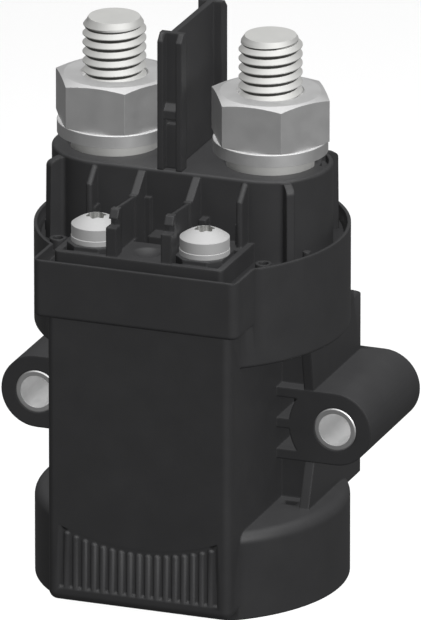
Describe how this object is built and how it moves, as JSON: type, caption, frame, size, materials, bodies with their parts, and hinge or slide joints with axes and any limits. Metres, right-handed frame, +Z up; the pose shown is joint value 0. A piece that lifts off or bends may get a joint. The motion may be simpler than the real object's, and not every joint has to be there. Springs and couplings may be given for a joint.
{
  "type": "power relay",
  "caption": "Sealed power relay: round plastic housing with side mounting lugs, threaded studs with hex nuts beside an upright barrier, screw coil terminals and a sliding plunger inside.",
  "frame": {"origin": "middle of the base's underside, on the coil's axis", "axes": "+Z up along the coil's axis, +X along the row of studs, +Y towards the flat mounting face; the coil terminals face -Y"},
  "size_m": [0.0618, 0.0453, 0.0915],
  "materials": {
    "housing_plastic": "black glass-filled moulding, fine spark-eroded texture",
    "cap_plastic": "black glass-filled moulding, smooth",
    "barrier_plastic": "black moulding, smooth",
    "sealing_resin": "black cast resin, self-levelled",
    "insulating_laminate": "pressed laminate, matt",
    "bobbin_plastic": "natural moulding, satin",
    "carrier_plastic": "moulding, satin",
    "bush_steel": "zinc-plated, rolled",
    "zinc_steel": "clear zinc plating, matt",
    "screw_zinc": "nickel-bright zinc plating",
    "stud_plating": "matt tin plating on copper",
    "magnet_steel": "zinc-plated soft iron",
    "shaft_steel": "ground stainless steel",
    "spring_steel": "drawn wire",
    "contact_silver": "silver alloy, brazed",
    "insert_brass": "turned brass",
    "lead_copper": "punched copper strip, tinned end",
    "bridge_copper": "punched copper bar",
    "winding_copper": "enamelled wire, wound in layers",
    "pad_rubber": "moulded rubber"
  },
  "bodies": {
    "relay": {"housing": "housing_plastic", "bush_left": "bush_steel", "bush_right": "bush_steel", "cap": "cap_plastic", "sealant": "sealing_resin", "insulator_plate": "insulating_laminate", "barrier": "barrier_plastic", "stud_left": "stud_plating", "stud_right": "stud_plating", "stud_washer_left": "zinc_steel", "stud_washer_right": "zinc_steel", "nut_left": "zinc_steel", "nut_right": "zinc_steel", "fixed_contact_left": "contact_silver", "fixed_contact_right": "contact_silver", "coil_insert_left": "insert_brass", "coil_insert_right": "insert_brass", "coil_washer_left": "zinc_steel", "coil_washer_right": "zinc_steel", "coil_screw_left": "screw_zinc", "coil_screw_right": "screw_zinc", "coil_lead_left": "lead_copper", "coil_lead_right": "lead_copper", "yoke_frame": "magnet_steel", "yoke_plate": "magnet_steel", "fixed_core": "magnet_steel", "bobbin": "bobbin_plastic", "coil_winding": "winding_copper", "stop_pad": "pad_rubber", "return_spring": "spring_steel"},
    "plunger_assembly": {"plunger": "magnet_steel", "shaft": "shaft_steel", "carrier": "carrier_plastic", "contact_spring": "spring_steel", "retaining_washer": "shaft_steel", "retaining_clip": "spring_steel"},
    "bridge": {"contact_bridge": "bridge_copper", "moving_contact_left": "contact_silver", "moving_contact_right": "contact_silver"}
  },
  "joints": [
    {"name": "plunger_slide", "type": "slide", "parent": "relay", "child": "plunger_assembly", "axis": [0, 0, 1], "range_m": [0, 0.002], "stiffness_N_per_m": 1500, "springref_m": -0.002, "deforming": ["return_spring"]},
    {"name": "bridge_overtravel", "type": "slide", "parent": "plunger_assembly", "child": "bridge", "axis": [0, 0, 1], "range_m": [-0.0005, 0], "deforming": ["contact_spring"]}
  ],
  "couplings": [
    {"joint": "bridge_overtravel", "follows": "plunger_slide", "ratio": -0.25}
  ]
}
